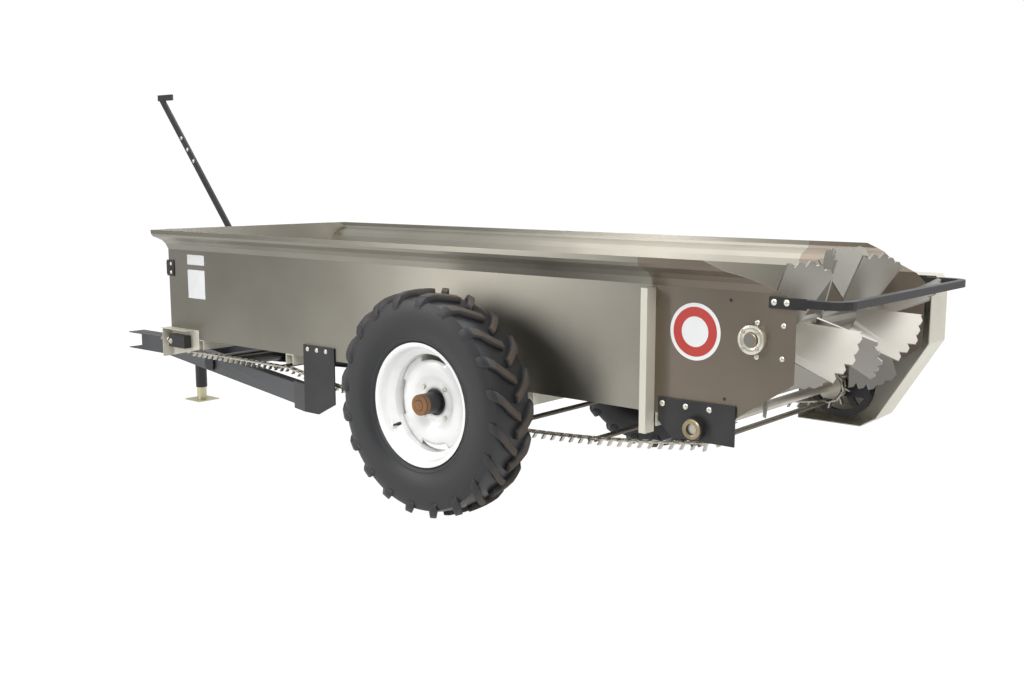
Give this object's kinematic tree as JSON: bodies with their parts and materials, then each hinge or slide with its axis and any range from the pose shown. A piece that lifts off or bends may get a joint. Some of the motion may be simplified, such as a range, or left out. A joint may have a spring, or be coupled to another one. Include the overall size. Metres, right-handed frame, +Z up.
{
  "type": "manure spreader",
  "caption": "Towed box manure spreader: stainless hopper, apron chain over the floor, paddle beater at the rear, lug tyres, drawbar with parking jack and a control lever.",
  "frame": {"origin": "on the ground below the middle of the bounding box", "axes": "-Y towards the hitch, +Y towards the beater, +X towards the machine's left side, +Z up"},
  "size_m": [1.596, 4.5, 1.646],
  "materials": {
    "stainless": "brushed, horizontal grain",
    "pale_stainless": "matt, welded",
    "black_paint": "satin powder coat",
    "charcoal_paint": "satin paint",
    "zinc": "yellowish zinc plate",
    "bare_steel": "bare, oiled",
    "rusty_steel": "rusted",
    "white_paint": "gloss",
    "tyre_rubber": "matt",
    "floor_panel": "matt"
  },
  "bodies": {
    "spreader": {"apron": "bare_steel", "apron_bearing_left": "rusty_steel", "apron_bearing_right": "rusty_steel", "apron_shaft": "bare_steel", "axle": "rusty_steel", "axle_mount_left": "black_paint", "axle_mount_right": "black_paint", "bail": "black_paint", "bearing_plate_left": "black_paint", "bearing_plate_right": "black_paint", "beater_bearing_left": "zinc", "beater_bearing_right": "zinc", "cross_member_1": "pale_stainless", "cross_member_2": "pale_stainless", "cross_member_3": "pale_stainless", "cross_member_4": "pale_stainless", "cross_member_5": "pale_stainless", "drive_guard": "pale_stainless", "floor": "floor_panel", "front_wall": "stainless", "hanger_left": "black_paint", "hanger_right": "black_paint", "idler_shaft": "bare_steel", "jack_tube": "black_paint", "lever_mount": "black_paint", "rear_panel_left": "stainless", "rear_panel_right": "stainless", "side_panel_left": "stainless", "side_panel_right": "stainless", "spoked_wheel": "black_paint", "stake_left": "pale_stainless", "stake_right": "pale_stainless", "takeup_block_left": "black_paint", "takeup_block_right": "black_paint", "takeup_bracket_left": "pale_stainless", "takeup_bracket_right": "pale_stainless", "tongue_left": "charcoal_paint", "tongue_right": "charcoal_paint", "tongue_tie": "black_paint"},
    "wheel_left": {"hub_left": "black_paint", "rim_left": "white_paint", "tyre_left": "tyre_rubber"},
    "wheel_right": {"hub_right": "black_paint", "rim_right": "white_paint", "tyre_right": "tyre_rubber"},
    "beater": {"beater": "stainless"},
    "lever": {"lever": "black_paint"},
    "jack_leg": {"jack_leg": "zinc"}
  },
  "joints": [
    {"name": "wheel_left_spin", "type": "hinge", "parent": "spreader", "child": "wheel_left", "pos_m": [0.698, 0.81, 0.4065], "axis": [1, 0, 0], "continuous": true},
    {"name": "wheel_right_spin", "type": "hinge", "parent": "spreader", "child": "wheel_right", "pos_m": [-0.698, 0.81, 0.4065], "axis": [1, 0, 0], "continuous": true},
    {"name": "beater_spin", "type": "hinge", "parent": "spreader", "child": "beater", "pos_m": [0, 1.957, 0.717], "axis": [1, 0, 0], "continuous": true},
    {"name": "lever_swing", "type": "hinge", "parent": "spreader", "child": "lever", "pos_m": [-0.154, -1.18, 0.49], "axis": [1, 0, 0], "range_deg": [-12, 10]},
    {"name": "jack_slide", "type": "slide", "parent": "spreader", "child": "jack_leg", "axis": [0, 0, 1], "range_m": [0, 0.055]}
  ]
}
